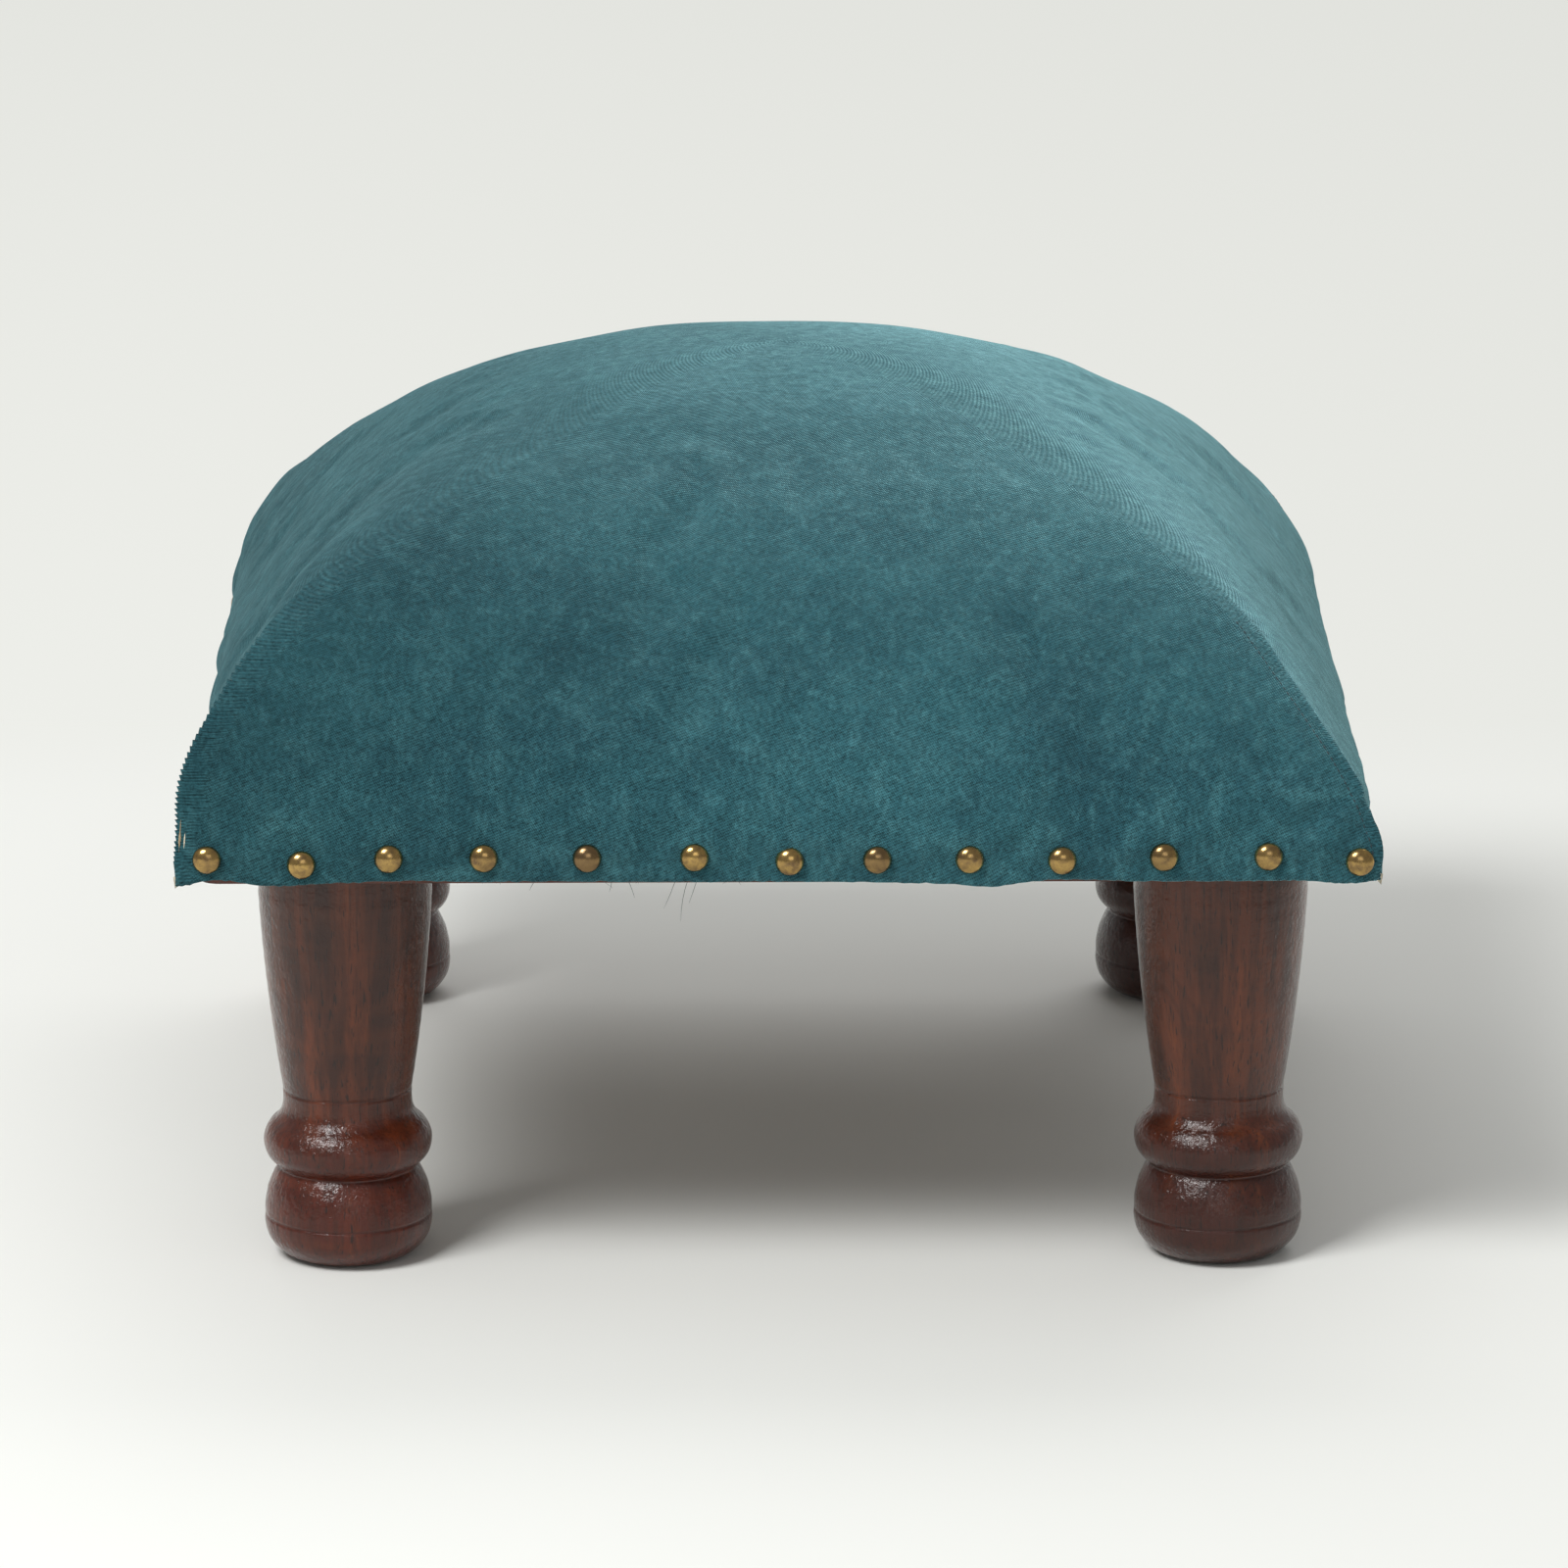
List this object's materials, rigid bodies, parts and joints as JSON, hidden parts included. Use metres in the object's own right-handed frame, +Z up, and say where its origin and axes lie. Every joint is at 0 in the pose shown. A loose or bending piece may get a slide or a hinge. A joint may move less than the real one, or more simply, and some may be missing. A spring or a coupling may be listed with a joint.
{
  "type": "upholstered footstool",
  "caption": "Low footstool with a domed stuffed seat, a velvet cover edged with domed brass nails and turned wooden legs with ball feet.",
  "frame": {"origin": "on the floor, under the middle of the seat", "axes": "+Z up, +X along the seat's width to the right, +Y along the seat's depth to the back"},
  "size_m": [0.3968, 0.4348, 0.278],
  "materials": {
    "frame_wood": "stained and lacquered",
    "dowel_wood": "bare beech",
    "plywood": "bare plywood",
    "block_wood": "sawn hardwood",
    "leg_wood": "red-brown stain, gloss lacquer",
    "zinc_steel": "zinc plated",
    "foam": "open-cell foam",
    "wadding": "polyester wadding",
    "calico": "plain unbleached cloth",
    "velvet": "crushed short-pile velvet",
    "staple_wire": "galvanised",
    "aged_brass": "antiqued, polished domes"
  },
  "bodies": {
    "root": {"rail_front": "frame_wood", "rail_back": "frame_wood", "rail_left": "frame_wood", "rail_right": "frame_wood", "rail_dowels": "dowel_wood", "seat_panel": "plywood", "panel_screws": "zinc_steel", "block_screws": "zinc_steel", "corner_block_front_left": "block_wood", "leg_front_left": "leg_wood", "corner_block_front_right": "block_wood", "leg_front_right": "leg_wood", "corner_block_back_left": "block_wood", "leg_back_left": "leg_wood", "corner_block_back_right": "block_wood", "leg_back_right": "leg_wood", "hanger_bolts": "zinc_steel", "tee_nuts": "zinc_steel", "foam_core": "foam", "wadding": "wadding", "lining": "calico", "velvet_cover": "velvet", "staples": "staple_wire", "nails_front": "aged_brass", "nails_back": "aged_brass", "nails_left": "aged_brass", "nails_right": "aged_brass"}
  },
  "joints": []
}
